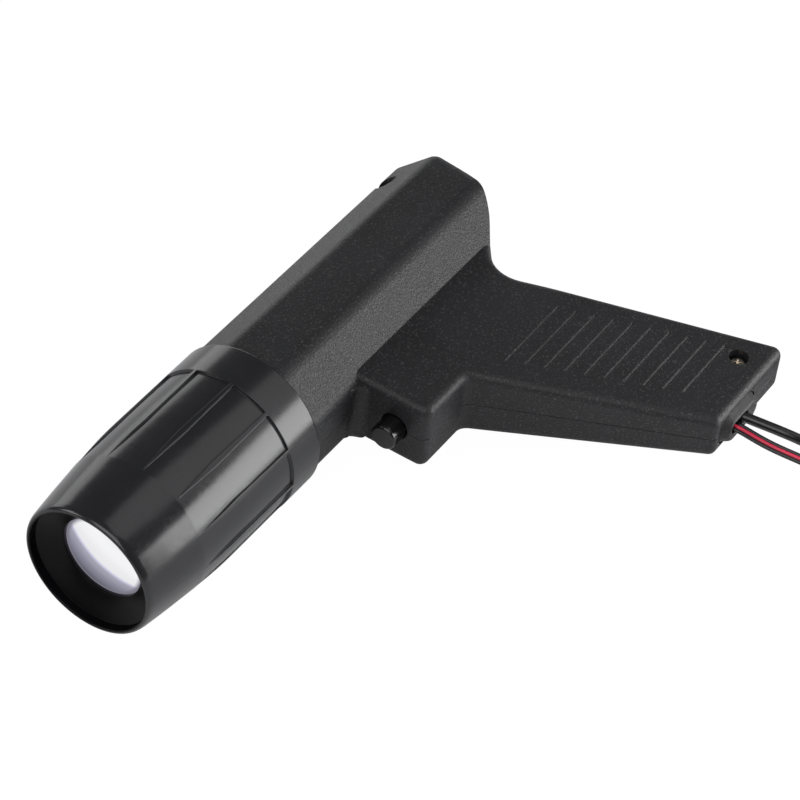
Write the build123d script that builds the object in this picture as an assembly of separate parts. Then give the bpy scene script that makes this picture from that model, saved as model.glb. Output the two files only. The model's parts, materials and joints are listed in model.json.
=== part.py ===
from build123d import *
import os
import math

# Inductive timing light: pistol-shaped housing, ribbed focusing nose sleeve,
# push button, supply leads with battery clips and an inductive pickup clamp.
# Frame (mm): the tool lies on its right side. +X = nose, +Y = along the grip,
# +Z = the tool's left side (up). Origin = barrel axis at the rear edge of the
# nose sleeve's collar.

os.makedirs("parts", exist_ok=True)

# ---------------------------------------------------------------- dimensions
WALL = 2.3              # housing wall
PART_GAP = 0.06         # gap between the two housing shells at the parting plane
SEAM_HALF_W = 0.14      # half width of the fine line around the parting plane
SEAM_DEPTH = 0.3
CLEARANCE = 0.05        # between parts that rest on each other

BARREL_AF = 48.0        # barrel octagon, across flats
BARREL_REAR = -117.1    # barrel rear face at the axis; it leans back towards -Y
BARREL_REAR_LEAN = 0.1
BARREL_REAR_R = 4.6     # rounding around the rear face
BARREL_FRONT = -0.15
BARREL_EDGE_R = 4.2     # rounding of the long edges on the -Y side
BARREL_EDGE_R_LOW = 7.5  # rounding of the four long edges on the grip side
GRIP_HALF_T = 12.7      # half thickness of boss and upper grip
GRIP_END_HALF_T = 8.05  # half thickness where the taper is measured, at GRIP_TAPER_Y1
GRIP_TAPER_Y0, GRIP_TAPER_Y1 = 46.0, 118.0
GRIP_TAPER_R = 260.0    # bend between the flat and the tapered side
GRIP_END_Y = 120.2      # grip end face
GRIP_EDGE_R = 3.0

GROOVE_N = 10           # grip grooves on each side
GROOVE_Y = (55.0, 104.8)          # first and last groove
GROOVE_FRONT_X = (-59.0, -84.9)
GROOVE_REAR_X = (-90.6, -112.4)
GROOVE_W = 1.15
GROOVE_D = 0.34

SPIGOT_R = 22.6         # round spigot that carries the nose sleeve
SPIGOT_RING_R = 23.5    # guide ring on the spigot, also the forward stop
SPIGOT_END = 34.0
SPIGOT_BORE_R = 19.9
O_RING_X = 15.0
O_RING_GROOVE_R = 22.15

COLLAR_R = 26.6         # nose sleeve collar
PANEL_DEPTH = 0.8       # recess of the panels at the collar
RIB_N = 12
RIB_PHASE = -4.6        # angle of the first rib from +Z, deg
RIB_END = 61.0
LENS_OPENING_R = 14.2
LENS_R = 15.12

BTN_Y = 37.6            # push button axis
BTN_R = 4.4
BTN_TIP = -17.6
BOSS_FRONT = -24.2
BOSS_END_Y = 49.3       # boss face towards the grip end
SWITCH_FRONT = -38.0

# shell screws: x, y, z of the head seat
SCREWS = [(-110.3, 110.6, 4.4), (-104.6, -20.9, 7.0)]
SCREW_CBORE_R = 3.3

GROMMET_X = -94.5       # grommet centre on the grip's end face
LEAD_X = -94.0          # pickup lead
LEAD_Z = 1.5
LEAD_R = 1.7
CORE_R = 0.64           # bonded supply cores
CORE_PITCH = 1.42
CORE_Z = 1.2
FLOOR_Z = -26.6         # level of the surface the leads lie on

CLIP_Z = -20.6          # middle of the battery clips
CLIP_LEAD_Y = -12.3     # lead entry, from the clip's pivot
RED_CLIP_XY = (-182.0, 186.0)
BLACK_CLIP_XY = (-182.0, 219.0)
PICKUP_XY = (-184.0, 151.0)
PICKUP_LEAD_Y = -12.4   # lead entry, from the clamp's pivot
PICKUP_HALF_W = 8.0
PICKUP_Z = FLOOR_Z + PICKUP_HALF_W + CLEARANCE


# ------------------------------------------------------------------- helpers
def save(name, shape):
    export_step(shape, "parts/" + name + ".step")


def group(shapes):
    return Compound([solid for shape in shapes for solid in shape.solids()])


def fused(shapes):
    whole = shapes[0]
    for shape in shapes[1:]:
        whole = whole + shape
    return whole


def box(x0, x1, y0, y1, z0, z1):
    return Pos((x0 + x1) / 2, (y0 + y1) / 2, (z0 + z1) / 2) * Box(x1 - x0, y1 - y0, z1 - z0)


def cyl_x(r, x0, x1, y=0.0, z=0.0):
    return Pos((x0 + x1) / 2, y, z) * (Rot(0, 90, 0) * Cylinder(r, x1 - x0))


def cyl_y(r, y0, y1, x=0.0, z=0.0):
    return Pos(x, (y0 + y1) / 2, z) * (Rot(90, 0, 0) * Cylinder(r, y1 - y0))


def cyl_z(r, z0, z1, x=0.0, y=0.0):
    return Pos(x, y, (z0 + z1) / 2) * Cylinder(r, z1 - z0)


def lines(points):
    return [Edge.make_line(a, b) for a, b in zip(points, points[1:])]


def polygon(points):
    return Face(Wire.make_polygon(points, close=True))


def slab(face, half):
    """Extrude an XY face to both sides of the parting plane."""
    return extrude(face, amount=half, dir=(0, 0, 1), both=True)


def extrude_x(face, x0, x1):
    """Extrude a YZ face from x0 to x1."""
    return Pos(x0, 0, 0) * extrude(face, amount=x1 - x0, dir=(1, 0, 0))


def slot_y(width, height, y0, y1, x=GROMMET_X, z=0.0, taper=0.0):
    """Rounded slot, wide along X, extruded from y0 to y1."""
    face = Plane.XZ * SlotOverall(width, height)
    return Pos(x, y0, z) * extrude(face, amount=y0 - y1, taper=taper)


def turned(edges):
    """Solid of revolution about X from closed (x, r) edges."""
    return revolve(Face(Wire(edges)), axis=Axis.X)


def turned_corners(points):
    return turned(lines(points + points[:1]))


def rounded_face(points):
    """Closed outline in XY from (x, y, corner radius) with tangent arcs."""
    corners = []                    # arc start, arc middle, arc end
    for i, (x, y, radius) in enumerate(points):
        corner = Vector(x, y)
        if radius <= 0:
            corners.append((corner, None, corner))
            continue
        back = (Vector(*points[i - 1][:2]) - corner).normalized()
        ahead = (Vector(*points[(i + 1) % len(points)][:2]) - corner).normalized()
        half = math.acos(max(-1, min(1, back.dot(ahead)))) / 2
        trim = radius / math.tan(half)
        bisector = (back + ahead).normalized()
        centre = corner + bisector * (radius / math.sin(half))
        corners.append((corner + back * trim, centre - bisector * radius, corner + ahead * trim))
    edges = []
    for i, (start, middle, end) in enumerate(corners):
        if middle is not None:
            edges.append(Edge.make_three_point_arc(start, middle, end))
        following = corners[(i + 1) % len(corners)][0]
        if (following - end).length > 1e-4:
            edges.append(Edge.make_line(end, following))
    return Face(Wire(edges))


def try_fillet(shape, edges, radius):
    """Round the edges; the shape stays sharp if the kernel can't build the fillet."""
    try:
        return fillet(edges, radius)
    except Exception:
        return shape


def cord(points, r):
    """Round cord along a polyline: (x, y, z) ends, (x, y, z, bend radius) in between."""
    path = [Vector(*p[:3]) for p in points]

    def straight(start, direction, length):
        return extrude(Plane(origin=start, z_dir=direction) * Circle(r), amount=length)

    pieces = []
    here = path[0]
    last = len(path) - 1
    for i in range(1, last):
        before = (path[i] - path[i - 1]).normalized()
        after = (path[i + 1] - path[i]).normalized()
        turn = math.acos(max(-1.0, min(1.0, before.dot(after))))
        # a bend may use half of the next straight, or all of the last one
        share = 0.5 if i < last - 1 else 1.0
        room = 0.98 * min((path[i] - here).length, (path[i + 1] - path[i]).length * share)
        trim = min(points[i][3] * math.tan(turn / 2), room)
        radius = trim / math.tan(turn / 2)
        start = path[i] - before * trim
        pieces.append(straight(here, before, (start - here).length))
        normal = before.cross(after).normalized()
        centre = start + normal.cross(before).normalized() * radius
        pieces.append(revolve(Plane(origin=start, z_dir=before) * Circle(r),
                              axis=Axis(centre, normal), revolution_arc=math.degrees(turn)))
        here = path[i] + after * trim
    pieces.append(straight(here, (path[last] - here).normalized(), (path[last] - here).length))
    return pieces[0].fuse(*pieces[1:])


def coil(pitch, height, radius, wire_r, center, direction):
    helix = Helix(pitch=pitch, height=height, radius=radius, center=center, direction=direction)
    return sweep(Plane(origin=helix @ 0, z_dir=helix % 0) * Circle(wire_r), path=helix)


# ---------------------------------------------------------- housing outlines
# grip and boss seen along Z (closed inside the barrel): x, y, corner radius
GRIP_OUTLINE = [
    (BOSS_FRONT, 8.0, 3.5), (BOSS_FRONT, BOSS_END_Y, 3.2), (-46.2, BOSS_END_Y, 4.0),
    (-81.3, GRIP_END_Y, 2.6), (-125.0, GRIP_END_Y, 2.9), (-91.0, 30.5, 12.2),
    (-108.0, 17.66, 3.5), (-108.0, 8.0, 3.5)]

# cut that shapes the barrel's rear corner on the grip side: x, y, corner radius
REAR_SLOPE = [(-119.35, -12.0, 0), (-112.18, 14.03, 20.0), (-78.0, 39.94, 0),
              (-78.0, 60.0, 0), (-135.0, 60.0, 0), (-135.0, -12.0, 0)]


def barrel_octagon(half):
    k = half * math.tan(math.radians(22.5))
    scale = half / (BARREL_AF / 2)
    upper, lower = BARREL_EDGE_R * scale, BARREL_EDGE_R_LOW * scale
    return Plane.YZ * rounded_face([
        (half, k, lower), (k, half, lower), (-k, half, upper), (-half, k, upper),
        (-half, -k, upper), (-k, -half, upper), (k, -half, lower), (half, -k, lower)])


def half_t(y):
    """Half thickness of the grip."""
    if y <= GRIP_TAPER_Y0:
        return GRIP_HALF_T
    slope = (GRIP_HALF_T - GRIP_END_HALF_T) / (GRIP_TAPER_Y1 - GRIP_TAPER_Y0)
    return GRIP_HALF_T - slope * (y - GRIP_TAPER_Y0)


def is_grip_rim(edge, side):
    """Whether an edge runs around the grip's +Z (side 1) or -Z (side -1) face."""
    ends = edge.vertices()
    mid = edge.center()
    if min(side * mid.Z, side * ends[0].Z, side * ends[-1].Z) <= 4.5:
        return False
    tangent = edge % 0.5
    if abs(tangent.Z) >= 0.3 or abs(side * mid.Z - half_t(mid.Y)) >= 0.8:
        return False
    # leave out the seams between flat and curved side faces
    seam = (abs(tangent.X) > 0.999 and abs(mid.Y - GRIP_TAPER_Y0) < 12 and edge.length > 15
            and abs(mid.X + 60) < 40 and not abs(mid.Y - BOSS_END_Y) < 0.3)
    return not seam


def grip_solid(inset, edge_r=0.0):
    face = rounded_face(GRIP_OUTLINE)
    if inset:
        face = offset(face, amount=-inset, kind=Kind.INTERSECTION).faces()[0]
    y_end = 126.0
    a = GRIP_HALF_T - inset
    b = half_t(y_end) - inset
    profile = Plane.YZ * rounded_face([
        (0, a, 0), (GRIP_TAPER_Y0, a, GRIP_TAPER_R), (y_end, b, 0),
        (y_end, -b, 0), (GRIP_TAPER_Y0, -a, GRIP_TAPER_R), (0, -a, 0)])
    grip = slab(face, 20) & extrude_x(profile, -130, -10)
    if edge_r:
        for side in (1, -1):
            grip = fillet([e for e in grip.edges() if is_grip_rim(e, side)], edge_r)
    return grip


def barrel_solid(inset, front, rear_r=0.0):
    rear = BARREL_REAR + inset
    lean = BARREL_REAR_LEAN
    barrel = extrude_x(barrel_octagon(BARREL_AF / 2 - inset), rear - 4, front)
    # leaning rear face
    barrel = barrel - slab(polygon([(rear - 30 * lean, -30), (rear + 30 * lean, 30),
                                    (rear - 20, 30), (rear - 20, -30)]), 40)
    if rear_r:
        def on_rear(point):
            return abs(point.X - (rear + lean * point.Y)) < 0.05

        barrel = fillet([e for e in barrel.edges()
                         if on_rear(e.center()) and on_rear(e.vertices()[0])], rear_r)
    # the rear corner on the grip side curves away into the grip's neck
    slope = [(x + 0.75 * inset, y - 0.8 * inset, r) for x, y, r in REAR_SLOPE]
    return barrel - slab(rounded_face(slope), 40)


# ------------------------------------------------------------------- housing
outer = barrel_solid(0.0, BARREL_FRONT, BARREL_REAR_R) + grip_solid(0.0, GRIP_EDGE_R)

# cove between the boss and the barrel's grip-side facets
COVE_R = 4.5
BARREL_HALF = BARREL_AF / 2
cove_x0, cove_x1 = BOSS_FRONT - 2, BOSS_FRONT + COVE_R
arc_mid = COVE_R * (1 - math.sqrt(0.5))
cove_edges = lines([(cove_x0, -20), (cove_x1, -20), (cove_x1, BARREL_HALF)])
cove_edges.append(Edge.make_three_point_arc(
    (cove_x1, BARREL_HALF), (BOSS_FRONT + arc_mid, BARREL_HALF + arc_mid),
    (BOSS_FRONT, BARREL_HALF + COVE_R)))
cove_edges += lines([(BOSS_FRONT, BARREL_HALF + COVE_R), (cove_x0, BARREL_HALF + COVE_R),
                     (cove_x0, -20)])
cove_slab = slab(Face(Wire(cove_edges)), 60)
cove = cove_slab & (Rot(45, 0, 0) * cove_slab) & (Rot(-45, 0, 0) * cove_slab)
cove_limit = Plane.YZ * rounded_face([(5, -12.4, 0), (27.5, -12.4, 3.0), (29.5, 0, 30.0),
                                      (27.5, 10.4, 3.0), (5, 10.4, 0)])
outer = outer + (cove & extrude_x(cove_limit, -40, 0))

spigot = cyl_x(SPIGOT_R, -3.0, SPIGOT_END) + cyl_x(SPIGOT_RING_R, 12.0, 18.0)
groove_x0, groove_x1 = O_RING_X - 0.8, O_RING_X + 0.8
spigot = spigot - turned_corners([(groove_x0, 24.5), (groove_x0, O_RING_GROOVE_R),
                                  (groove_x1, O_RING_GROOVE_R), (groove_x1, 24.5)])
cavity = barrel_solid(WALL, -2.6) + grip_solid(WALL)
# the bore widens at its front end to seat the reflector rim
bore = cyl_x(SPIGOT_BORE_R, -3.5, SPIGOT_END + 1) + cyl_x(21.25, 31.9, SPIGOT_END + 1)
shell = outer + spigot - cavity - bore

# inner features: screw posts, lamp bulkhead behind the reflector
posts = fused([cyl_z(4.6, -30, 30, x, y) for x, y, seat in SCREWS])
bulkhead = cyl_x(22.6, -7.2, -4.8) - cyl_x(6.6, -8, -4)
# rails that hold the push switch
switch_rails = fused([
    box(-48.4, -46.15, 29.5, 46.5, -12.5, 12.5) - box(-49, -46, 33.5, 41.7, -2.6, 2.6),
    box(-46.2, -39.0, 31.2, 33.0, -12.5, 12.5) - box(-47, -38, 31, 34, -2.6, 2.6),
    box(-46.2, -39.0, 42.2, 44.0, -12.5, 12.5) - box(-47, -38, 42, 45, -2.6, 2.6)])
# cross webs in the grip with a wide notch for the leads: y, rear x, front x
webs = fused([box(x0, x1, y - 0.9, y + 0.9, -13.5, 13.5)
              - box(x0 + 12, x1 - 10, y - 2, y + 2, -7.0, 7.0)
              for y, x0, x1 in ((66.0, -104, -52), (90.0, -113, -64))])
shell = shell + ((posts + bulkhead + switch_rails + webs) & outer)

# openings for the push button, the grommet and the screws
shell = shell - cyl_x(4.8, -34, -20, BTN_Y, 0)
shell = shell - slot_y(20.2, 9.8, 122, 116)
shell = shell - slot_y(22.5, 12.1, 122, 119.5)
for x, y, seat in SCREWS:
    shell = shell - cyl_z(SCREW_CBORE_R, seat, 30, x, y) - cyl_z(1.75, -0.5, seat + 1, x, y)
    shell = shell - cyl_z(1.55, -6.2, 0.5, x, y)


def between(ends, fraction):
    return ends[0] + (ends[1] - ends[0]) * fraction


def grip_groove(fraction):
    """Wedge-section groove on the +Z side, deepest on the side away from the barrel."""
    y = between(GROOVE_Y, fraction)
    front = between(GROOVE_FRONT_X, fraction)
    rear = between(GROOVE_REAR_X, fraction)
    y0, y1 = y - GROOVE_W / 2, y + GROOVE_W / 2
    section = Plane.YZ * polygon([
        (y0, half_t(y0) + 0.02), (y1 - 0.42, half_t(y1) - GROOVE_D),
        (y1, half_t(y1) + 0.02), (y1, half_t(y1) + 2), (y0, half_t(y0) + 2)])
    plan = Pos((front + rear) / 2, y) * SlotOverall(front - rear, GROOVE_W + 0.02)
    return extrude_x(section, rear, front) & extrude(plan, amount=20, dir=(0, 0, 1))


for i in range(GROOVE_N):
    groove = grip_groove(i / (GROOVE_N - 1))
    shell = shell - groove - mirror(groove, about=Plane.XY)

# fine line where the shells meet
seam = outer & box(-140, -0.5, -40, 130, -SEAM_HALF_W, SEAM_HALF_W)
seam = seam - barrel_solid(SEAM_DEPTH, 5.0) - grip_solid(SEAM_DEPTH)
seam = seam - box(-30, -18, 22, 31, -1, 1)
shell = shell - seam

left_shell = shell & box(-140, 60, -40, 130, PART_GAP / 2, 40)
right_shell = shell & box(-140, 60, -40, 130, -40, -PART_GAP / 2)

# board posts on the right shell
BOARD_X0, BOARD_X1 = -104.0, -24.0
BOARD_Y0, BOARD_Y1 = -15.0, 17.0
BOARD_Z0, BOARD_Z1 = -9.6, -8.0
BOARD_HOLES = [(x, y) for x in (BOARD_X0 + 4, BOARD_X1 - 4) for y in (BOARD_Y0 + 3, BOARD_Y1 - 3)]
board_posts = fused([cyl_z(3.0, -24, BOARD_Z0 - CLEARANCE, x, y)
                     + cyl_z(1.2, -24, BOARD_Z1 + 0.8, x, y) for x, y in BOARD_HOLES])
right_shell = right_shell + (board_posts & outer)

save("left_shell", left_shell)
save("right_shell", right_shell)


# -------------------------------------------------------------- shell screws
def shell_screw(x, y, seat):
    top = seat + 1.55
    head = cyl_z(2.5, seat + 0.02, top, x, y)
    head = fillet([e for e in head.edges() if abs(e.center().Z - top) < 0.01], 0.5)
    cross = Rot(0, 0, 25) * (Box(2.8, 0.7, 2.1) + Box(0.7, 2.8, 2.1))
    return head - Pos(x, y, seat + 1.75) * cross + cyl_z(1.5, -6.0, seat + 0.1, x, y)


save("shell_screws", group([shell_screw(*screw) for screw in SCREWS]))

# --------------------------------------------------------------- nose sleeve
# profiles as (x, r) points
SLEEVE_OUTSIDE = [(40.0, 26.52), (46, 26.39), (52, 26.02), (58, 25.5),
                  (64, 24.9), (70, 24.3), (76, 23.62), (79.6, 23.18)]
SLEEVE_LIP = [(79.6, 23.18), (81.0, 22.86), (81.8, 22.3), (81.9, 21.85), (81.5, 21.3)]
SLEEVE_FUNNEL = [(78.9, 21.3), (77.7, 19.3), (76.2, 16.6), (74.6, 14.25)]
# lens seat, hollow behind it and bore back to the collar
SLEEVE_INSIDE = [
    (74.6, 14.25), (74.2, LENS_OPENING_R), (73.2, LENS_OPENING_R), (73.2, 15.25),
    (62.6, 15.25), (62.6, 17.2), (72.2, 17.2), (72.2, 21.3), (60.0, 22.9), (48.0, 23.6),
    (4.0, 23.6), (4.0, 22.7), (0.3, 22.7), (0.0, 23.0), (0.0, 26.0)]
PANEL_FLOOR = [(14.35, COLLAR_R - PANEL_DEPTH), (30, 25.95), (46, 25.78), (60.5, 25.4)]

sleeve = turned(
    [Edge.make_three_point_arc((0.0, 26.0), (0.18, 26.42), (0.6, COLLAR_R))]
    + lines([(0.6, COLLAR_R), (13.6, COLLAR_R), SLEEVE_OUTSIDE[0]])
    + [Edge.make_spline(SLEEVE_OUTSIDE, tangents=[(1, 0), (1, -0.14)]),
       Edge.make_spline(SLEEVE_LIP, tangents=[(1, -0.14), (-1, -0.15)]),
       Edge.make_line(SLEEVE_LIP[-1], SLEEVE_FUNNEL[0]),
       Edge.make_spline(SLEEVE_FUNNEL)]
    + lines(SLEEVE_INSIDE))

panels = turned([Edge.make_spline(PANEL_FLOOR)]
                + lines([PANEL_FLOOR[-1], (60.5, 28), (13.9, 28), (14.05, COLLAR_R - 0.1),
                         PANEL_FLOOR[0]]))
# ribs taper to a point at both their sides; one lies at Z = r cos(a), Y = -r sin(a)
rib_plan = polygon([(13.0, -0.55), (40.0, -0.95), (RIB_END, -0.02),
                    (RIB_END, 0.02), (40.0, 0.95), (13.0, 0.55)])
rib = Pos(0, 0, 20) * extrude(rib_plan, amount=10, dir=(0, 0, 1))
panels = panels - [Rot(RIB_PHASE + 360.0 * i / RIB_N, 0, 0) * rib for i in range(RIB_N)]
save("nose_shroud", sleeve - panels)

# ---------------------------------------------------------------------- lens
LENS_BACK, LENS_RIM, LENS_FRONT = 69.4, 73.1, 76.4
LENS_FACE_R = LENS_OPENING_R - 0.15
lens_bulge = LENS_FRONT - LENS_RIM
lens_curve = (LENS_FACE_R ** 2 + lens_bulge ** 2) / (2 * lens_bulge)
ARC_MID_R = 7.2
arc_mid_x = LENS_FRONT - (lens_curve - math.sqrt(lens_curve ** 2 - ARC_MID_R ** 2))
save("lens", turned(
    lines([(LENS_BACK, 0), (LENS_BACK, LENS_R), (LENS_RIM, LENS_R), (LENS_RIM, LENS_FACE_R)])
    + [Edge.make_three_point_arc((LENS_RIM, LENS_FACE_R), (arc_mid_x, ARC_MID_R),
                                 (LENS_FRONT, 0)),
       Edge.make_line((LENS_FRONT, 0), (LENS_BACK, 0))]))

retainer = cyl_x(15.15, 66.6, LENS_BACK - CLEARANCE) - cyl_x(13.4, 66, 70)
save("lens_retainer", retainer - box(66, 67.6, -1.2, 1.2, -16, 16))
save("focus_o_ring", Pos(O_RING_X, 0, 0) * (Rot(0, 90, 0) * Torus(22.87, 0.68)))


# ----------------------------------------------------------------- flash head
def parabola(x, thickness):
    return math.sqrt(11.0 * (x + 0.2)) + thickness


RIM_X0, RIM_X1, RIM_R = 31.95, 33.2, 21.15
back_curve = [(x, parabola(x, 0.8)) for x in (4.6, 8, 12, 18, 24, 29.0, RIM_X0)]
front_curve = [(x, parabola(x, 0.0)) for x in (RIM_X1, 29.0, 24, 18, 12, 8, 4.6)]
save("reflector", turned(
    [Edge.make_spline(back_curve)]
    + lines([back_curve[-1], (RIM_X0, RIM_R), (RIM_X1, RIM_R), front_curve[0]])
    + [Edge.make_spline(front_curve), Edge.make_line(front_curve[-1], back_curve[0])]))

TUBE_R = 2.0
TUBE_BORE_R = TUBE_R + CLEARANCE
LEG_Y = 3.4             # tube legs lie at +-LEG_Y
BEND_X = 18.0           # the U bend starts here
legs = cyl_x(TUBE_R, -0.4, BEND_X, LEG_Y, 0) + cyl_x(TUBE_R, -0.4, BEND_X, -LEG_Y, 0)
bend = (Pos(BEND_X, 0, 0) * Torus(LEG_Y, TUBE_R)) & box(BEND_X, 30, -10, 10, -5, 5)
save("flash_tube", legs + bend)

holder = cyl_x(9.0, -4.7, -0.5)
holder_collar = cyl_x(4.6, -0.6, 3.6)
for y in (LEG_Y, -LEG_Y):
    holder = holder - cyl_x(TUBE_BORE_R, -2.4, 0, y, 0)
    holder_collar = holder_collar - cyl_x(TUBE_BORE_R, -1, 5, y, 0)
for y in (LEG_Y, -LEG_Y):
    holder = holder - cyl_x(0.6, -6, 0, y, 0)
holder_collar = holder_collar - box(-1, 5, -LEG_Y, LEG_Y, -TUBE_BORE_R, TUBE_BORE_R)
save("lamp_holder", holder + holder_collar)
save("tube_electrodes", group([cyl_x(0.5, -11.0, -0.45, y, 0) for y in (LEG_Y, -LEG_Y)]))

# -------------------------------------------------------------- circuit board
board = box(BOARD_X0, BOARD_X1, BOARD_Y0, BOARD_Y1, BOARD_Z0, BOARD_Z1)
board = fillet(board.edges().filter_by(Axis.Z), 2.0)
for x, y in BOARD_HOLES:
    board = board - cyl_z(1.4, -12, -6, x, y)
save("circuit_board", board)

base = BOARD_Z1 + CLEARANCE     # underside of the parts on the board

# transformer: frame with a middle leg, winding around the leg
core = box(-62, -40, -9, 9, base, base + 18) - box(-58.5, -43.5, -10, 10, base + 4, base + 14)
core = core + box(-54.5, -47.5, -3.5, 3.5, base + 3.9, base + 14.1)
save("transformer_core", core)
winding = box(-58.3, -43.7, -7.6, 7.6, base + 4.2, base + 13.8)
winding = winding - box(-54.7, -47.3, -3.7, 3.7, base, base + 18)
winding = fillet([e for e in winding.edges().filter_by(Axis.Z) if abs(e.center().Y) > 7], 2.2)
save("transformer_winding", winding)

# storage capacitor, lying along X, with a crimp groove near its rear end
CAP_R = 7.0
cap_axis = (5.5, base + CAP_R)
cap = cyl_x(CAP_R, -97.0, -69.0, *cap_axis)
cap = fillet([e for e in cap.edges() if e.geom_type == GeomType.CIRCLE], 0.9)
cap = cap - (cyl_x(8, -95.2, -94.6, *cap_axis) - cyl_x(6.6, -95.3, -94.5, *cap_axis))
save("storage_capacitor", cap)


def filter_capacitor(x, y, r, height):
    can = cyl_z(r, base, base + height, x, y)
    can = fillet([e for e in can.edges() if e.center().Z > base + height - 0.1], 0.5)
    return can - (cyl_z(r + 1, base + 1.2, base + 1.7, x, y)
                  - cyl_z(r - 0.25, base + 1.1, base + 1.8, x, y))


save("filter_capacitors", group([filter_capacitor(-92.0, -8.0, 4.0, 11.5),
                                 filter_capacitor(-82.0, -8.5, 3.15, 10.0)]))

# spool: flange, barrel, flange as radius, bottom, top
save("trigger_coil", fused([
    cyl_z(r, base + z0, base + z1, -33.0, 2.0)
    for r, z0, z1 in ((4.5, 0, 1.2), (3.4, 1.1, 10.6), (4.5, 10.5, 11.7))]))

# transistor: body, drilled tab and three pins
TRANSISTOR_X = -70.9
PIN_PITCH = 2.54
x0, x1 = TRANSISTOR_X - 5.1, TRANSISTOR_X + 5.1
transistor = box(x0, x1, -12.2, -7.8, base + 3.0, base + 12.0)
transistor = transistor + box(x0, x1, -12.2, -10.9, base + 11.9, base + 18.0)
transistor = transistor - cyl_y(1.8, -14, -7, TRANSISTOR_X, base + 15.2)
for i in (-1, 0, 1):
    x = TRANSISTOR_X + i * PIN_PITCH
    transistor = transistor + box(x - 0.4, x + 0.4, -10.4, -9.9, base, base + 3.1)
save("switching_transistor", transistor)

FIN_PITCH, FIN_T = 2.92, 1.3
sink = box(-79, -63, -14.0, -12.25, base, base + 19.5)
for i in range(6):
    x = -79 + i * FIN_PITCH
    sink = sink + box(x, x + FIN_T, -16.6, -13.9, base + 2.0, base + 16.5)
save("heat_sink", sink)


def resistor(x, y):
    z = base + 2.0
    body = turned_corners([(-3.2, 0), (-3.2, 1.25), (-2.0, 1.25), (-1.7, 1.0),
                           (1.7, 1.0), (2.0, 1.25), (3.2, 1.25), (3.2, 0)])
    wires = cyl_x(0.3, x - 4.6, x + 4.6, y, z)
    wires = wires + cyl_z(0.3, base, z, x - 4.4, y) + cyl_z(0.3, base, z, x + 4.4, y)
    return Pos(x, y, z) * body + wires


save("resistors", group([resistor(-34.0, -6.5), resistor(-34.0, -10.3), resistor(-62.0, 12.6)]))

# --------------------------------------------------------- button and switch
FLANGE_X, FLANGE_T, FLANGE_R = -26.65, 1.7, 5.9
TIP_R = 0.8             # rounding of the button's front edge
STEM_R, STEM_END = 2.4, -33.0
button = turned(
    [Edge.make_line((BTN_TIP, 0), (BTN_TIP, BTN_R - TIP_R)),
     Edge.make_three_point_arc((BTN_TIP, BTN_R - TIP_R), (BTN_TIP - 0.235, BTN_R - 0.235),
                               (BTN_TIP - TIP_R, BTN_R))]
    + lines([(BTN_TIP - TIP_R, BTN_R), (FLANGE_X, BTN_R), (FLANGE_X, FLANGE_R),
             (FLANGE_X - FLANGE_T, FLANGE_R), (FLANGE_X - FLANGE_T, STEM_R),
             (STEM_END, STEM_R), (STEM_END, 0), (BTN_TIP, 0)]))
save("trigger_button", Pos(0, BTN_Y, 0) * button)
save("button_spring", coil(pitch=8.8 / 5, height=8.8, radius=3.5, wire_r=0.3,
                           center=(-37.6, BTN_Y, 0), direction=(1, 0, 0)))

switch = box(-46.1, SWITCH_FRONT, 33.1, 42.1, -5.0, 5.0) - cyl_x(1.5, -43.2, -37, BTN_Y, 0)
switch = fillet(switch.edges().filter_by(Axis.X).filter_by(
    lambda e: e.length > 7.9 and abs(abs(e.center().Z) - 5) < 0.01), 0.6)
save("switch_body", switch)
save("switch_plunger", cyl_x(1.4, -40.4, STEM_END - CLEARANCE, BTN_Y, 0))
save("switch_terminals", group([box(-51.0, -46.15, y, y + 0.8, -1.2, 1.2) for y in (35.0, 39.4)]))

# ------------------------------------------------------------ internal wiring
WIRE_R = 0.6
save("lamp_wires", group([
    cord([(-11.4, side * LEG_Y, 0.9), (-15.0, side * 3.0, 2.5, 3.0),
          (-19.0, side * 4.0, -2.0, 6.0), (-22.2, side * 6.0, -6.5)], WIRE_R)
    for side in (1, -1)]))
save("switch_wires", group([
    cord([(-50.5, 34.2, 0), (-56.0, 31.0, 0, 6.0), (-60.0, 24.5, -4.0, 10.0),
          (-61.0, 18.3, -9.0)], WIRE_R),
    cord([(-50.5, 41.0, 0), (-58.0, 39.0, 0, 6.0), (-65.0, 28.0, -3.5, 14.0),
          (-66.0, 18.5, -8.8)], WIRE_R)]))

# ------------------------------------------------------------------- grommet
# tapered dome outside, neck through the wall, flange inside
dome = slot_y(21.6, 11.5, 119.55, 122.75, taper=30)
dome = try_fillet(dome, [e for e in dome.edges() if e.center().Y > 122.6], 1.3)
grommet = dome + slot_y(19.9, 9.5, 117.7, 119.7) + slot_y(22.0, 11.4, 116.2, 117.8)
grommet = grommet - slot_y(10.4, 4.6, 110, 130, x=-91.9, z=LEAD_Z - 0.1)
save("cable_grommet", grommet)

# --------------------------------------------------------------------- leads
# routes: x, y, z, bend radius at the inner points
PICKUP_ROUTE = [
    (-83.5, 20.3, -6.6), (-83.0, 32.0, -3.5, 30), (-83.8, 52.0, 0.2, 70),
    (-87.5, 80.0, 1.4, 90), (-92.0, 106.0, LEAD_Z, 60), (LEAD_X - 0.6, 122.0, LEAD_Z, 60),
    (LEAD_X - 3.0, 138.0, 1.2, 40), (-102.6, 151.0, -3.8, 16), (-114.5, 156.5, -13.8, 15),
    (-129.0, 149.5, PICKUP_Z, 18), (-138.8, PICKUP_XY[1] + PICKUP_LEAD_Y, PICKUP_Z, 13),
    (-149.6, PICKUP_XY[1] + PICKUP_LEAD_Y, PICKUP_Z)]
save("pickup_lead", cord(PICKUP_ROUTE, LEAD_R))

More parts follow.
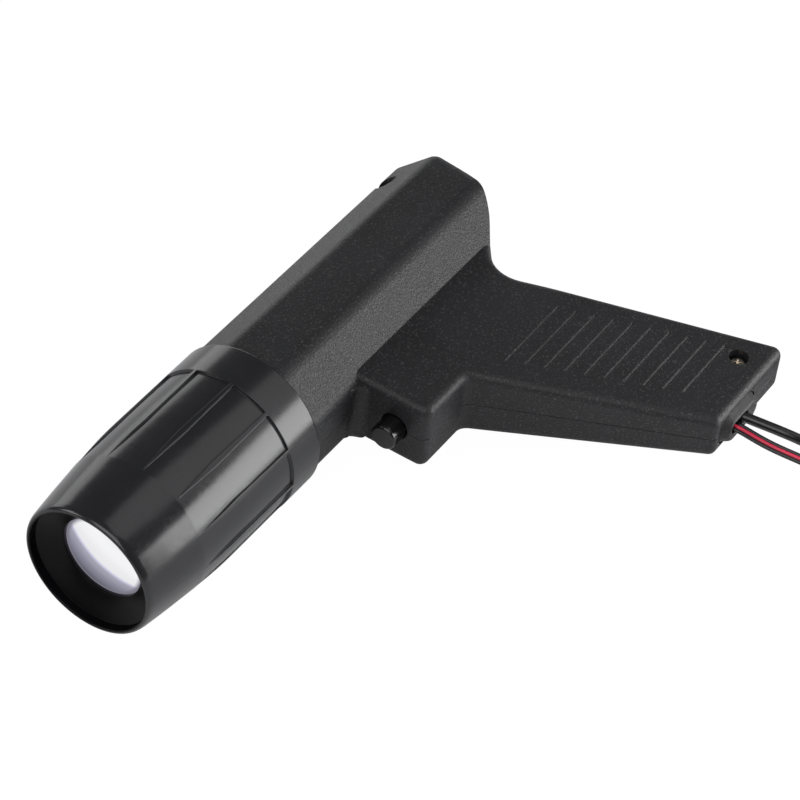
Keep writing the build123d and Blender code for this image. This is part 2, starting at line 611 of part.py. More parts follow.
# the three bonded cores run side by side up to the split, then fan out
BUNDLE = [
    (-76.0, 18.6, -8.0), (-75.6, 30.0, -4.5, 30), (-76.0, 50.0, 0.0, 70),
    (-80.5, 80.0, CORE_Z, 90), (-86.9, 106.0, CORE_Z, 60), (-89.9, 121.5, CORE_Z, 40),
    (-88.9, 134.5, 1.0, 40), (-92.2, 152.0, -0.8, 26), (-96.0, 167.0, -11.5, 24)]
floor = FLOOR_Z + CORE_R + CLEARANCE    # axis of a core lying on the floor
RED_TAIL = [
    (-98.0, 176.5, -16.6, 10), (-106.5, 184.8, -19.8, 10), (-120.0, 183.0, -23.6, 16),
    (-135.0, 174.6, -22.4, 16), (-148.6, RED_CLIP_XY[1] + CLIP_LEAD_Y, CLIP_Z)]
BLACK_TAIL_A = [
    (-101.4, 177.0, -21.0, 10), (-104.2, 186.5, floor, 12), (-110.6, 198.0, floor, 14),
    (-122.0, 204.6, floor + 1.2, 16), (-136.0, 205.8, -22.6, 24), (-148.6, 206.0, CLIP_Z)]
BLACK_TAIL_B = [
    (-94.4, 177.5, -21.4, 10), (-97.2, 188.0, floor, 12), (-106.6, 202.0, floor, 14),
    (-121.0, 208.2, floor + 1.2, 16), (-136.0, 207.7, -22.6, 24), (-148.6, 207.44, CLIP_Z)]


def supply_core(side, tail):
    """One core, side = -1, 0 or 1 across the bundle."""
    shift_x, shift_y = 0.99 * CORE_PITCH * side, 0.14 * CORE_PITCH * side
    return cord([(x + shift_x, y + shift_y, *rest) for x, y, *rest in BUNDLE] + tail, CORE_R)


save("supply_lead_red", supply_core(0, RED_TAIL))
save("supply_lead_black", group([supply_core(-1, BLACK_TAIL_A), supply_core(1, BLACK_TAIL_B)]))

# -------------------------------------------------------------- battery clips
# drawn with the pivot at the origin, jaws towards -X, hinge axis Z;
# x, y outlines of the moving side, which lies on +Y at the handle
MOVING_HALF_W, FIXED_HALF_W = 3.5, 4.5
STEEL_T = 0.8
TOOTH_PITCH = 1.9
JAW_OUTSIDE = [(33.0, 13.7), (10.0, 8.9), (0.0, 7.2), (-12.0, 8.0),
               (-24.0, 5.6), (-30.4, 2.4), (-31.2, 0.06)]
JAW_INSIDE = [(-20.0, 3.9), (-9.5, 3.9), (-6.0, 1.6), (-3.4, 0.8), (6.0, 4.4), (33.0, 10.3)]
BOOT_OUTLINE = [(35.6, 15.6), (12.0, 10.6), (10.6, 9.4), (10.6, 5.0),
                (13.0, 4.5), (34.4, 8.9), (36.2, 10.2), (36.6, 14.2)]
BOOT_VOID = [(33.06, 13.85), (8.0, 8.6), (8.0, 4.75), (33.06, 10.2)]
BOOT_HALF_W = 5.9


def clip_jaw(half_w):
    """Toothed sheet-steel channel with a drilled pivot boss."""
    teeth = []
    for i in range(6):
        x = JAW_OUTSIDE[-1][0] + i * TOOTH_PITCH
        teeth += [(x + TOOTH_PITCH / 2, 1.0), (x + TOOTH_PITCH, 0.06)]
    jaw = slab(polygon(JAW_OUTSIDE + teeth + JAW_INSIDE), half_w)
    jaw = jaw + cyl_z(2.7, -half_w, half_w)
    hollow = [(x, y - STEEL_T) for x, y in JAW_OUTSIDE] + [(-31.0, -9.0), (33.0, -9.0), (33.0, 12.5)]
    jaw = jaw - slab(polygon(hollow), half_w - STEEL_T)
    return jaw - cyl_z(1.3, -half_w - 1, half_w + 1)


def clip_boot(jaw_half_w):
    """Rubber boot over one handle, clear of the steel."""
    boot = slab(rounded_face([(x, y, 0.8) for x, y in BOOT_OUTLINE]), BOOT_HALF_W)
    rim = [e for e in boot.edges() if abs(abs(e.center().Z) - BOOT_HALF_W) < 0.01]
    boot = try_fillet(boot, rim, 1.2)
    return boot - slab(polygon(BOOT_VOID), jaw_half_w + CLEARANCE)


clip_parts = {
    "fixed_jaw": mirror(clip_jaw(FIXED_HALF_W), about=Plane.XZ),
    "moving_jaw": clip_jaw(MOVING_HALF_W),
    "fixed_boot": mirror(clip_boot(FIXED_HALF_W), about=Plane.XZ)
    - cyl_x(1.95, 32.0, 38.0, CLIP_LEAD_Y, 0),
    "moving_boot": clip_boot(MOVING_HALF_W),
    "pin": cyl_z(1.2, -4.9, 4.9) + cyl_z(1.9, -5.3, -4.55) + cyl_z(1.9, 4.55, 5.3),
    "spring": coil(pitch=1.0, height=4.0, radius=2.15, wire_r=0.4,
                   center=(0, 0, -2.0), direction=(0, 0, 1)),
}
for clip, (x, y) in (("red_clip", RED_CLIP_XY), ("black_clip", BLACK_CLIP_XY)):
    for part, shape in clip_parts.items():
        save(clip + "_" + part, Pos(x, y, CLIP_Z) * shape)

# ------------------------------------------------------ inductive pickup clamp
# drawn like the clips; outline of the moving half: x, y, corner radius
PICKUP_OUTLINE = [
    (-30.5, 0.1, 0.6), (-30.5, 6.5, 3.0), (-26.5, 11.6, 4.0), (-8.0, 11.8, 6.0),
    (2.0, 9.6, 8.0), (33.5, 15.2, 2.0), (36.4, 13.6, 1.0), (36.0, 10.9, 1.0), (0.0, 0.12, 0.0)]
HOLE_X, HOLE_R = -17.0, 5.2     # hole for the ignition cable
KNUCKLE_R, KNUCKLE_CUT_R = 4.0, 4.35


def is_clamp_rim(edge):
    mid = edge.center()
    return (abs(abs(mid.Z) - PICKUP_HALF_W) < 0.01 and not abs(mid.Y) < 0.3
            and not (edge.length > 30 and mid.Y < 7.0))


half = slab(rounded_face(PICKUP_OUTLINE), PICKUP_HALF_W)
half = try_fillet(half, [e for e in half.edges() if is_clamp_rim(e)], 0.8)
half = half - cyl_z(HOLE_R, -10, 10, HOLE_X, 0)
half = half - cyl_z(9.05, -6.05, 6.05, HOLE_X, 0)       # ferrite pocket
for i in range(5):
    # finger grooves on the handle's outside
    x = 14.0 + i * 3.6
    half = half - cyl_z(0.7, -10, 10, x, 11.6 + (x - 12.0) * 0.1778 + 0.45)

# the moving half has the middle knuckle, the fixed half the two outer ones
moving_half = (half + cyl_z(KNUCKLE_R, -3.9, 3.9) - cyl_z(KNUCKLE_CUT_R, 3.95, 9)
               - cyl_z(KNUCKLE_CUT_R, -9, -3.95) - cyl_z(1.6, -10, 10))
fixed_half = (mirror(half, about=Plane.XZ) - cyl_z(KNUCKLE_CUT_R, -4.0, 4.0)
              + cyl_z(KNUCKLE_R, 4.05, 8.0) + cyl_z(KNUCKLE_R, -8.0, -4.05)
              - cyl_z(1.55, -10, 10) - cyl_x(1.8, 34.0, 40.0, PICKUP_LEAD_Y, 0))
ferrite = cyl_z(9.0, -6.0, 6.0, HOLE_X, 0) - cyl_z(HOLE_R, -7, 7, HOLE_X, 0)
ferrite = ferrite & box(-40, 10, 0.1, 20, -8, 8)

pickup_parts = {
    "fixed_half": fixed_half,
    "moving_half": moving_half,
    "core_fixed": mirror(ferrite, about=Plane.XZ),
    "core_moving": ferrite,
    "pin": cyl_z(1.5, -7.9, 7.9),
    "spring": coil(pitch=1.6, height=9.6, radius=2.6, wire_r=0.35,
                   center=(19.0, -4.8, 0), direction=(0, 1, 0)),
}
for part, shape in pickup_parts.items():
    save("pickup_" + part, Pos(*PICKUP_XY, PICKUP_Z) * shape)
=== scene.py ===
"""Looks, floor, lights and camera for a hand-held lamp with cables, boots and a hinged pickup.

Metres, +Z up. The lens axis is the X axis, with the lens towards +X. The lamp lies just
above a pale paper floor and is seen from above, from its +X +Y side.
"""
import bpy
import json
from mathutils import Vector, Matrix


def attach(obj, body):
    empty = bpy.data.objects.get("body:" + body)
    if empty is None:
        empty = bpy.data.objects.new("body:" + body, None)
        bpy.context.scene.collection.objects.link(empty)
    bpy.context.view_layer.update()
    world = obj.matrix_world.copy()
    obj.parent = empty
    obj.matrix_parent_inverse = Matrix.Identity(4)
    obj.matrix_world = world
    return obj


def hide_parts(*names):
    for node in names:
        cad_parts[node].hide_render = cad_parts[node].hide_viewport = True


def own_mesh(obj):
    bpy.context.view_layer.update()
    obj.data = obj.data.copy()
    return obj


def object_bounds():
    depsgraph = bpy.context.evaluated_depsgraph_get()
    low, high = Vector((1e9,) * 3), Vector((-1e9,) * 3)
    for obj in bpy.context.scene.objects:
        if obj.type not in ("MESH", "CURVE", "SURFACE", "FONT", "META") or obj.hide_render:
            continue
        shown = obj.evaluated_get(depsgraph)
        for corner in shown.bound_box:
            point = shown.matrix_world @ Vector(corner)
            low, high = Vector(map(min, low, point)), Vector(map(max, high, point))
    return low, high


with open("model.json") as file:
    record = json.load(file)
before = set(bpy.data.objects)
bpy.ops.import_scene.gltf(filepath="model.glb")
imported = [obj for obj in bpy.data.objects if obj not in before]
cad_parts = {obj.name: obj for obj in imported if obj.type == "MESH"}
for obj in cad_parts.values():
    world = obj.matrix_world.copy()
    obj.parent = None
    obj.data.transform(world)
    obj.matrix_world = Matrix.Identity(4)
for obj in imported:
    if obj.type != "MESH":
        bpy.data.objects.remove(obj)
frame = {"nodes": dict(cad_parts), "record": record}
CAD_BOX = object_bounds()
PIECES = frame["nodes"]
SLOTS = {part["node"]: part["material_slot"] for part in frame["record"]["subparts"]}
scene = bpy.context.scene

FLOOR_SIZE = 8.0
FLOOR_GAP = 0.0004             # between the lowest CAD point and the floor

MOUTH_SHADE_X = 0.0735               # where the painted shade inside the mouth starts
MOUTH_RADIUS = 0.0221
LENS_BEVEL_SHADE_RADII = (0.0124, 0.0136)   # where the painted shade on the lens bevel fades in


# ---------------------------------------------------------------- node helpers
class Graph:
    """The node tree of a material or world."""

    def __init__(self, owner):
        owner.use_nodes = True
        self.data = owner
        self.nodes = owner.node_tree.nodes
        self.links = owner.node_tree.links

    def feed(self, socket, value):
        """Link a socket, or set a plain value; colours gain their alpha here."""
        if isinstance(value, bpy.types.NodeSocket):
            self.links.new(value, socket)
        elif isinstance(value, tuple) and socket.type == "RGBA":
            socket.default_value = (*value, 1.0)
        else:
            socket.default_value = value

    def node(self, kind, inputs=None, **settings):
        """Add a node; inputs are keyed by socket name or index."""
        node = self.nodes.new("ShaderNode" + kind)
        for name, value in settings.items():
            setattr(node, name, value)
        for key, value in (inputs or {}).items():
            self.feed(node.inputs[key], value)
        return node

    def mix_shaders(self, share, first, second, output):
        mixed = self.node("MixShader", {0: share, 1: first, 2: second})
        self.feed(self.nodes[output].inputs["Surface"], mixed.outputs[0])


class Material(Graph):
    """A node material built around its Principled shader."""

    def __init__(self, name):
        super().__init__(bpy.data.materials.new(name))
        self.principled = self.nodes["Principled BSDF"]
        self.position = self.node("TexCoord").outputs["Object"]

    def surface(self, **values):
        """Feed Principled inputs, written with underscores for spaces."""
        for name, value in values.items():
            self.feed(self.principled.inputs[name.replace("_", " ")], value)

    def math(self, operation, first, second=0.0):
        return self.node("Math", {0: first, 1: second}, operation=operation).outputs[0]

    def add(self, first, second):
        return self.math("ADD", first, second)

    def multiply(self, first, second):
        return self.math("MULTIPLY", first, second)

    def noise(self, scale, detail=3.0, rough=0.55, vector=None):
        inputs = {"Scale": scale, "Detail": detail, "Roughness": rough,
                  "Vector": vector or self.position}
        return self.node("TexNoise", inputs).outputs["Fac"]

    def voronoi(self, scale, feature="F1"):
        inputs = {"Scale": scale, "Vector": self.position}
        return self.node("TexVoronoi", inputs, feature=feature).outputs["Distance"]

    def wave(self, scale, direction, distortion=0.0):
        inputs = {"Scale": scale, "Distortion": distortion, "Vector": self.position}
        return self.node("TexWave", inputs, bands_direction=direction).outputs["Fac"]

    def mix(self, share, first, second):
        return self.node("Mix", {0: share, 6: first, 7: second}, data_type="RGBA").outputs[2]

    def remap(self, value, start, end, low=0.0, high=1.0):
        inputs = {0: value, 1: start, 2: end, 3: low, 4: high}
        return self.node("MapRange", inputs).outputs[0]

    def spread(self, noise, low=0.0, high=1.0):
        """Stretch the middle of a noise, where most of its values lie, over low to high."""
        return self.remap(noise, start=0.3, end=0.7, low=low, high=high)

    def ramp(self, factor, stops):
        node = self.node("ValToRGB", {"Fac": factor})
        elements = node.color_ramp.elements
        while len(elements) < len(stops):
            elements.new(0.5)
        for element, (place, color) in zip(elements, stops):
            element.position = place
            element.color = (*color, 1.0)
        return node.outputs["Color"]

    def split(self, vector):
        return self.node("SeparateXYZ", {0: vector}).outputs

    def distance_from_axis(self, y, z):
        """Distance from the lens axis."""
        return self.math("SQRT", self.add(self.math("POWER", y, 2.0), self.math("POWER", z, 2.0)))

    def rounded_normal(self, radius):
        return self.node("Bevel", {"Radius": radius}, samples=6).outputs[0]

    def edge_mask(self, radius):
        """0 on flat areas, towards 1 at edges."""
        rounded = self.rounded_normal(radius)
        normal = self.node("NewGeometry").outputs["Normal"]
        dot = self.node("VectorMath", {0: rounded, 1: normal}, operation="DOT_PRODUCT")
        return self.remap(dot.outputs["Value"], start=0.995, end=0.85)

    def bump(self, height, strength, distance, soft_edge=0.0):
        inputs = {"Strength": strength, "Distance": distance, "Height": height}
        if soft_edge:
            inputs["Normal"] = self.rounded_normal(soft_edge)
        self.surface(Normal=self.node("Bump", inputs).outputs[0])

    def add_glow(self, color, strength, share):
        """Replace a share of the Principled shader with emission."""
        glow = self.node("Emission", {"Color": color, "Strength": strength})
        self.mix_shaders(share, self.principled.outputs[0], glow.outputs[0], "Material Output")


def shade(color, factor, lift=0.0):
    return tuple(c * factor + lift for c in color)


# ---------------------------------------------------------- families of material
def textured_plastic(mat, base, rough, grain=1500.0, bump=0.5, bump_depth=0.00012,
                     speck=0.03, specular=0.42):
    """Grained moulding with pale specks and slightly worn edges."""
    soft_edge = 0.00035
    fine = mat.noise(scale=grain, detail=2.0, rough=0.6)
    cells = mat.voronoi(scale=grain * 0.8)
    cloud = mat.noise(scale=45.0, rough=0.5)
    height = mat.add(mat.multiply(fine, 0.7), mat.multiply(cells, 0.6))
    specks = mat.remap(mat.noise(scale=grain * 0.9, detail=1.0, rough=0.5), start=0.58, end=0.74)
    clouding = mat.remap(cloud, start=0.35, end=0.65)
    color = mat.mix(clouding, shade(base, 0.82), shade(base, 1.18))
    color = mat.mix(mat.multiply(specks, 0.6), color, shade(base, 1.0, lift=speck))
    edges = mat.edge_mask(radius=soft_edge * 1.6)
    color = mat.mix(mat.multiply(edges, 0.3), color, shade(base, 1.9, lift=0.004))
    roughness = mat.spread(fine, low=rough - 0.07, high=rough + 0.09)
    roughness = mat.math("SUBTRACT", roughness, mat.multiply(edges, 0.08))
    mat.surface(Base_Color=color, Roughness=roughness, IOR=1.5, Specular_IOR_Level=specular)
    mat.bump(height, strength=bump, distance=bump_depth, soft_edge=soft_edge)


def gloss_plastic(mat, base, rough, ripple, soft_edge, painted_mouth_shade=False):
    """Shiny, faintly rippled and dusty moulding."""
    cloud = mat.noise(scale=70.0, detail=2.0, rough=0.45)
    fine = mat.noise(scale=900.0, rough=0.6)
    dust_noise = mat.noise(scale=1500.0, detail=1.0, rough=0.5)
    dust = mat.remap(dust_noise, start=0.7, end=0.78, high=0.5)
    color = mat.mix(mat.spread(cloud), shade(base, 0.8), shade(base, 1.15))
    color = mat.mix(dust, color, shade(base, 1.0, lift=0.02))
    roughness = mat.spread_rough = mat.remap(fine, start=0.3, end=0.75,
                                             low=rough * 0.85, high=rough * 1.25)
    roughness = mat.add(roughness, mat.multiply(dust, 0.15))
    if painted_mouth_shade:
        # painted shade inside the mouth, in front of the lens seat: near-black colour, lower
        # specular and rougher
        x, y, z = mat.split(mat.position)
        within = mat.remap(mat.distance_from_axis(y, z),
                           start=MOUTH_RADIUS, end=MOUTH_RADIUS - 0.0005)
        mouth_shade_mask = mat.multiply(within, mat.remap(x, start=MOUTH_SHADE_X, end=MOUTH_SHADE_X + 0.001))
        color = mat.mix(mouth_shade_mask, color, (0.0012, 0.0012, 0.0014))
        specular = mat.remap(mouth_shade_mask, start=0.0, end=1.0, low=0.5, high=0.11)
        mat.surface(Specular_IOR_Level=specular)
        roughness = mat.add(roughness, mat.multiply(mouth_shade_mask, 0.12))
    mat.surface(Base_Color=color, Roughness=roughness, IOR=1.52)
    mat.bump(cloud, strength=ripple, distance=0.0006, soft_edge=soft_edge)


def rubber(mat, base, rough):
    soft_edge = 0.0005
    fine = mat.noise(scale=1500.0, rough=0.6)
    cloud = mat.noise(scale=60.0, detail=2.0, rough=0.5)
    color = mat.mix(mat.spread(cloud), shade(base, 0.85), shade(base, 1.12, lift=0.002))
    edges = mat.edge_mask(radius=soft_edge * 1.5)
    color = mat.mix(mat.multiply(edges, 0.3), color, shade(base, 1.5, lift=0.01))
    roughness = mat.spread(fine, low=rough - 0.08, high=rough + 0.1)
    mat.surface(Base_Color=color, Roughness=roughness, Sheen_Weight=0.05)
    mat.bump(fine, strength=0.2, distance=0.00006, soft_edge=soft_edge)


def metal(mat, base, rough, brushing=None, stain=0.15):
    """Metal with brown stains; brushing is the noise scale along x, y and z."""
    if brushing:
        mapping = mat.node("Mapping", {"Scale": brushing, "Vector": mat.position})
        fine = mat.noise(scale=1.0, detail=4.0, rough=0.65, vector=mapping.outputs[0])
    else:
        fine = mat.noise(scale=1400.0, rough=0.6)
    cloud = mat.noise(scale=160.0, detail=4.0, rough=0.6)
    stains = mat.remap(cloud, start=0.52, end=0.72, high=stain)
    color = mat.mix(mat.spread(fine), shade(base, 0.88), base)
    roughness = mat.spread(fine, low=rough * 0.75, high=rough * 1.35)
    mat.surface(Base_Color=mat.mix(stains, color, (0.4, 0.32, 0.2)), Metallic=1.0,
                Roughness=mat.add(roughness, mat.multiply(stains, 0.6)))
    mat.bump(fine, strength=0.12, distance=0.00005, soft_edge=0.00015)


def cable(mat, base, rough):
    fine = mat.noise(scale=700.0, rough=0.6)
    cloud = mat.noise(scale=55.0, detail=2.0, rough=0.5)
    mat.surface(Base_Color=mat.mix(mat.spread(cloud), shade(base, 0.85), shade(base, 1.1)),
                Roughness=mat.spread(fine, low=rough * 0.8, high=rough * 1.3), IOR=1.5)
    mat.bump(mat.add(fine, mat.multiply(cloud, 2.0)), strength=0.15, distance=0.0001)


# -------------------------------------------------------------- single materials
def board(mat):
    """Green laminate: cell-edge traces over a faint weave."""
    cell_edges = mat.voronoi(scale=170.0, feature="DISTANCE_TO_EDGE")
    traces = mat.remap(cell_edges, start=0.06, end=0.075, low=1.0, high=0.0)
    weave = mat.multiply(mat.wave(scale=700.0, direction="X"), mat.wave(scale=700.0, direction="Y"))
    faint_weave = mat.multiply(weave, 0.15)
    color = mat.mix(mat.multiply(traces, 0.8), (0.006, 0.06, 0.02), (0.012, 0.12, 0.035))
    mat.surface(Base_Color=mat.mix(faint_weave, color, (0.1, 0.14, 0.06)),
                Roughness=mat.remap(weave, start=0.0, end=1.0, low=0.28, high=0.4))
    mat.bump(mat.add(traces, faint_weave), strength=0.3, distance=0.00006, soft_edge=0.0002)


def capacitor_sleeve(mat):
    """Shrink sleeve with the pale polarity stripe."""
    cloud = mat.noise(scale=260.0, rough=0.5)
    stripe = mat.remap(mat.wave(scale=26.0, direction="Y"), start=0.93, end=0.95)
    blue = mat.mix(cloud, (0.01, 0.014, 0.05), (0.014, 0.02, 0.075))
    mat.surface(Base_Color=mat.mix(mat.multiply(stripe, 0.7), blue, (0.5, 0.52, 0.56)),
                Roughness=mat.spread(cloud, low=0.22, high=0.34))
    mat.bump(cloud, strength=0.15, distance=0.0002, soft_edge=0.0003)


def winding_tape(mat):
    turns = mat.wave(scale=330.0, direction="Z", distortion=1.0)
    cloud = mat.noise(scale=300.0, rough=0.5)
    mat.surface(Base_Color=mat.mix(turns, (0.5, 0.3, 0.03), (0.68, 0.42, 0.06)),
                Roughness=mat.spread(cloud, low=0.25, high=0.4))
    mat.bump(mat.add(turns, cloud), strength=0.35, distance=0.00015, soft_edge=0.0003)


# place in the repeating band, colour
RESISTOR_BANDS = [
    (0.0, (0.45, 0.28, 0.1)), (0.3, (0.55, 0.36, 0.16)), (0.5, (0.35, 0.03, 0.02)),
    (0.62, (0.02, 0.02, 0.02)), (0.75, (0.5, 0.33, 0.14)), (0.9, (0.55, 0.4, 0.05)),
]


def resistor(mat):
    mat.surface(Base_Color=mat.ramp(mat.wave(scale=150.0, direction="X"), RESISTOR_BANDS),
                Roughness=mat.spread(mat.noise(scale=800.0), low=0.2, high=0.35))
    mat.bump(mat.noise(scale=500.0), strength=0.1, distance=0.0001)


def ceramic(mat):
    fine = mat.noise(scale=900.0, detail=4.0, rough=0.6)
    color = mat.mix(mat.noise(scale=120.0), (0.62, 0.59, 0.52), (0.74, 0.71, 0.65))
    mat.surface(Base_Color=color, Roughness=mat.spread(fine, low=0.5, high=0.65))
    mat.bump(fine, strength=0.2, distance=0.0001, soft_edge=0.0003)


def mirror(mat):
    cloud = mat.noise(scale=400.0, rough=0.5)
    mat.surface(Base_Color=mat.mix(cloud, (0.86, 0.87, 0.89), (0.94, 0.94, 0.95)),
                Roughness=mat.spread(cloud, low=0.08, high=0.16), Metallic=1.0)
    mat.bump(cloud, strength=0.08, distance=0.0003)


def tube_glass(mat):
    cloud = mat.noise(scale=300.0, detail=2.0, rough=0.5)
    mat.surface(Base_Color=mat.mix(cloud, (0.92, 0.95, 1.0), (1.0, 1.0, 1.0)),
                Roughness=mat.spread(cloud, low=0.0, high=0.04),
                Transmission_Weight=1.0, IOR=1.47)
    mat.bump(cloud, strength=0.03, distance=0.0003)


# place across the lens, colour: painted glow standing in for the reflector seen through the lens,
# from a dark edge over a pale crescent to a white field
LENS_PAINTED_GLOW = [
    (0.0, (0.10, 0.10, 0.13)), (0.30, (0.26, 0.26, 0.33)), (0.46, (0.40, 0.39, 0.47)),
    (0.495, (0.62, 0.60, 0.78)), (0.53, (0.88, 0.88, 0.90)), (0.8, (0.92, 0.92, 0.93)),
    (1.0, (0.72, 0.73, 0.78)),
]


def lens_glass(mat):
    """Clear glass with a painted glow standing in for the bright reflector seen through it, and
    painted shade on its bevel.
    """
    cloud = mat.noise(scale=120.0, detail=2.0, rough=0.5)
    mat.surface(Base_Color=mat.mix(cloud, (0.97, 0.97, 0.99), (1.0, 1.0, 1.0)),
                Roughness=mat.spread(cloud, low=0.0, high=0.015),
                Transmission_Weight=1.0, IOR=1.52, Coat_Weight=0.3, Coat_Roughness=0.0)
    mat.bump(cloud, strength=0.02, distance=0.0003)
    _, y, z = mat.split(mat.node("NewGeometry").outputs["Position"])
    # the painted glow runs across the lens along the direction (y, z) = (0.434, 0.901), with a
    # wobble
    across = mat.add(mat.multiply(y, 0.434), mat.multiply(z, 0.901))
    wobble = mat.math("SUBTRACT", mat.noise(scale=60.0, detail=1.0, rough=0.5), 0.5)
    across = mat.add(across, mat.multiply(wobble, 0.001))
    painted_reflector_glow = mat.ramp(mat.remap(across, start=-0.014, end=0.014), LENS_PAINTED_GLOW)
    bevel_start, bevel_end = LENS_BEVEL_SHADE_RADII
    # painted shade: the painted glow darkens over the lens bevel
    painted_bevel_shade = mat.remap(mat.distance_from_axis(y, z), start=bevel_start, end=bevel_end)
    # the painted glow covers most of the lens where it faces the camera, less at grazing angles
    fresnel = mat.node("Fresnel", {"IOR": 1.35}).outputs[0]
    mat.add_glow(color=mat.mix(painted_bevel_shade, painted_reflector_glow, (0.21, 0.20, 0.24)), strength=1.0,
                 share=mat.remap(fresnel, start=0.0, end=1.0, low=0.92, high=0.1))


def floor_paper(mat):
    """Paper that glows to the camera, so that it looks nearly shadowless."""
    cloud = mat.noise(scale=9.0, detail=2.0, rough=0.5)
    mat.surface(Base_Color=mat.mix(cloud, (0.90, 0.90, 0.91), (0.92, 0.92, 0.93)),
                Roughness=0.9, Specular_IOR_Level=0.1)
    camera_ray = mat.node("LightPath").outputs["Is Camera Ray"]
    mat.add_glow(color=mat.mix(cloud, (1.0, 1.0, 1.0), (0.99, 0.99, 0.99)), strength=1.04,
                 share=mat.multiply(camera_ray, 0.95))


# slot: (builder, its options)
RECIPES = {
    "shell_plastic": (textured_plastic, dict(
        base=(0.0106, 0.0106, 0.0120), rough=0.46, grain=1700.0, bump=0.75,
        bump_depth=0.00013, speck=0.06, specular=0.36)),
    "screw_steel": (metal, dict(base=(0.66, 0.6, 0.5), rough=0.24)),
    "seal_rubber": (rubber, dict(base=(0.01, 0.01, 0.01), rough=0.45)),
    "reflector_mirror": (mirror, {}),
    "tube_glass": (tube_glass, {}),
    "holder_ceramic": (ceramic, {}),
    "bright_metal": (metal, dict(base=(0.72, 0.72, 0.73), rough=0.2)),
    "board_laminate": (board, {}),
    "ferrite": (textured_plastic, dict(base=(0.03, 0.03, 0.033), rough=0.6, grain=1200.0)),
    "winding_tape": (winding_tape, {}),
    "capacitor_sleeve": (capacitor_sleeve, {}),
    "component_epoxy": (textured_plastic, dict(
        base=(0.012, 0.012, 0.012), rough=0.5, grain=2600.0)),
    "sink_aluminium": (metal, dict(
        base=(0.7, 0.71, 0.72), rough=0.32, brushing=(120, 120, 2200))),
    "resistor_body": (resistor, {}),
    "spring_steel": (metal, dict(base=(0.6, 0.6, 0.6), rough=0.22)),
    "switch_plastic": (textured_plastic, dict(
        base=(0.02, 0.02, 0.022), rough=0.4, grain=3000.0, bump=0.15)),
    "wire_sleeve_red": (cable, dict(base=(0.5, 0.012, 0.012), rough=0.3)),
    "wire_sleeve_black": (cable, dict(base=(0.01, 0.01, 0.01), rough=0.3)),
    "grommet_rubber": (textured_plastic, dict(
        base=(0.016, 0.016, 0.017), rough=0.5, grain=2000.0, bump=0.25)),
    "cable_black": (cable, dict(base=(0.006, 0.006, 0.007), rough=0.2)),
    "cable_red": (cable, dict(base=(0.68, 0.03, 0.075), rough=0.3)),
    # the sleeve gets painted shade inside its mouth
    "sleeve_gloss": (gloss_plastic, dict(
        base=(0.0095, 0.0095, 0.0112), rough=0.19, ripple=0.08, soft_edge=0.00025, painted_mouth_shade=True)),
    "lens_glass": (lens_glass, {}),
    "retainer_plastic": (textured_plastic, dict(base=(0.012, 0.012, 0.012), rough=0.4, bump=0.2)),
    "button_gloss": (gloss_plastic, dict(
        base=(0.004, 0.004, 0.0045), rough=0.12, ripple=0.05, soft_edge=0.0003)),
    "clamp_plastic": (textured_plastic, dict(
        base=(0.013, 0.013, 0.014), rough=0.38, grain=2400.0, bump=0.3)),
    "clip_steel": (metal, dict(
        base=(0.44, 0.43, 0.41), rough=0.3, brushing=(1800, 200, 200), stain=0.3)),
    "boot_red": (rubber, dict(base=(0.52, 0.012, 0.02), rough=0.42)),
    "boot_black": (rubber, dict(base=(0.01, 0.01, 0.011), rough=0.42)),
}


def make_material(name, build, options):
    mat = Material(name)
    build(mat, **options)
    return mat.data


materials = {name: make_material(name, *recipe) for name, recipe in RECIPES.items()}
for name, piece in PIECES.items():
    piece.data.materials.clear()
    piece.data.materials.append(materials[SLOTS[name]])


# ------------------------------------------------------ copies of the springs
def live_spring(node):
    """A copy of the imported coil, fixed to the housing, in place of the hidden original."""
    source = PIECES[node]
    coil = bpy.data.objects.new(node + "_coil", source.data.copy())
    scene.collection.objects.link(coil)
    coil.matrix_world = source.matrix_world.copy()
    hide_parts(node)
    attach(coil, "housing")
    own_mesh(coil)


live_spring("button_spring")
live_spring("pickup_spring")


# --------------------------------------------------------------- floor, world
def add_floor():
    floor_z = CAD_BOX[0][2] - FLOOR_GAP
    bpy.ops.mesh.primitive_plane_add(size=FLOOR_SIZE, location=(0, 0, floor_z))
    floor = bpy.context.object
    floor.name = "floor"
    floor.data.materials.append(make_material("floor_paper", floor_paper, {}))


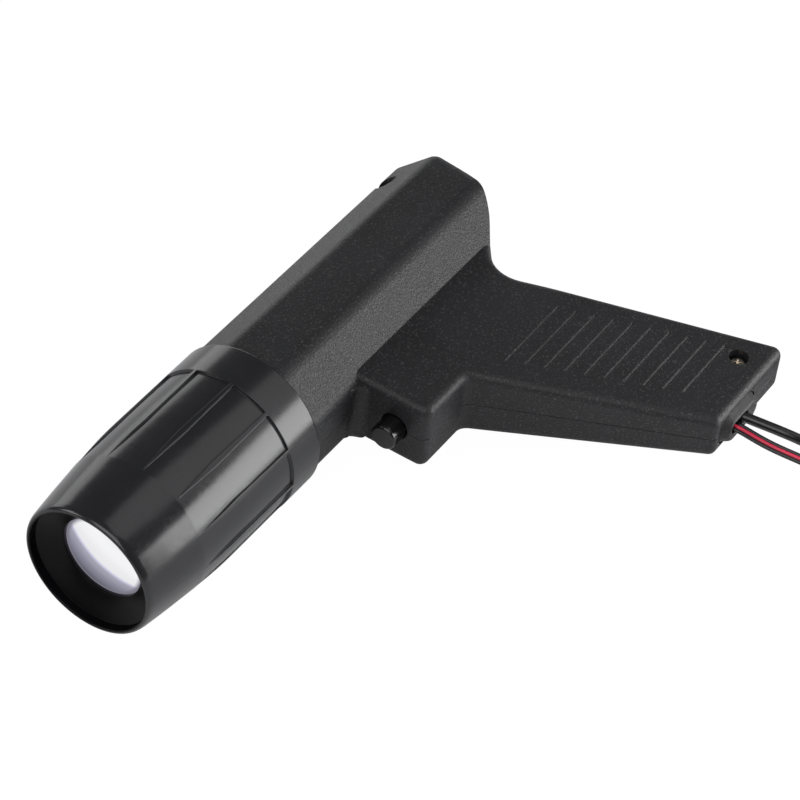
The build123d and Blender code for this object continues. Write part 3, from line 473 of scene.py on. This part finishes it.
def add_world():
    """Dim light on the lamp; the camera sees a plain pale backdrop instead."""
    scene.world = bpy.data.worlds.new("studio")
    world = Graph(scene.world)
    ambient = world.nodes["Background"]
    world.feed(ambient.inputs["Color"], (0.98, 0.99, 1.0))
    world.feed(ambient.inputs["Strength"], 0.20)
    backdrop = world.node("Background", {"Color": (0.95, 0.955, 0.96), "Strength": 0.97})
    camera_ray = world.node("LightPath").outputs["Is Camera Ray"]
    world.mix_shaders(camera_ray, ambient.outputs[0], backdrop.outputs[0], "World Output")


add_floor()
add_world()


# --------------------------------------------------------------------- lights
def area(name, direction, distance, size, power, target=(0.0, 0.03, 0.0)):
    """A rectangular light at a distance from its target, facing it."""
    direction = Vector(direction).normalized()
    light = bpy.data.lights.new(name, "AREA")
    light.shape = "RECTANGLE"
    light.size, light.size_y = size
    light.energy = power
    lamp = bpy.data.objects.new(name, light)
    scene.collection.objects.link(lamp)
    lamp.location = Vector(target) + direction * distance
    lamp.rotation_euler = (-direction).to_track_quat("-Z", "Y").to_euler()


area("right_softbox", direction=(-0.54, 0.79, 0.23), distance=0.58, size=(0.44, 0.32),
     power=2.9, target=(-0.035, 0.02, 0.0))
area("top_softbox", direction=(0.60, 0.10, 0.79), distance=0.95, size=(0.8, 0.8), power=4.7)
area("back_softbox", direction=(-0.62, -0.75, 0.18), distance=1.1, size=(1.2, 0.40),
     power=2.5, target=(0.05, 0.0, 0.0))
area("mid_card", direction=(-0.50, 0.34, 0.79), distance=0.9, size=(0.5, 0.85),
     power=1.1, target=(0.06, 0.0, 0.0))
area("front_left", direction=(0.50, -0.78, 0.50), distance=1.2, size=(0.65, 0.45), power=3.2)

# --------------------------------------------------------------------- camera
CAMERA_PLACE = (0.5817075, 0.3776231, 0.700608)
CAMERA_AXES = (
    (-0.554301, 0.828495, 0.079665),     # right
    (-0.555556, -0.439559, 0.705794),    # up
    (0.619764, 0.346964, 0.703923),      # backward, away from the view
)


def add_camera():
    lens = bpy.data.cameras.new("cam")
    lens.sensor_fit = "HORIZONTAL"
    lens.sensor_width = 36.0
    lens.lens = 143.6321
    lens.shift_x = 0.000625
    lens.shift_y = -0.001125
    lens.clip_start = 0.05
    lens.clip_end = 20.0
    camera = bpy.data.objects.new("camera", lens)
    scene.collection.objects.link(camera)
    pose = Matrix(CAMERA_AXES).transposed().to_4x4()
    pose.translation = CAMERA_PLACE
    camera.matrix_world = pose
    scene.camera = camera


add_camera()
scene.view_settings.view_transform = "Standard"
scene.view_settings.look = "None"
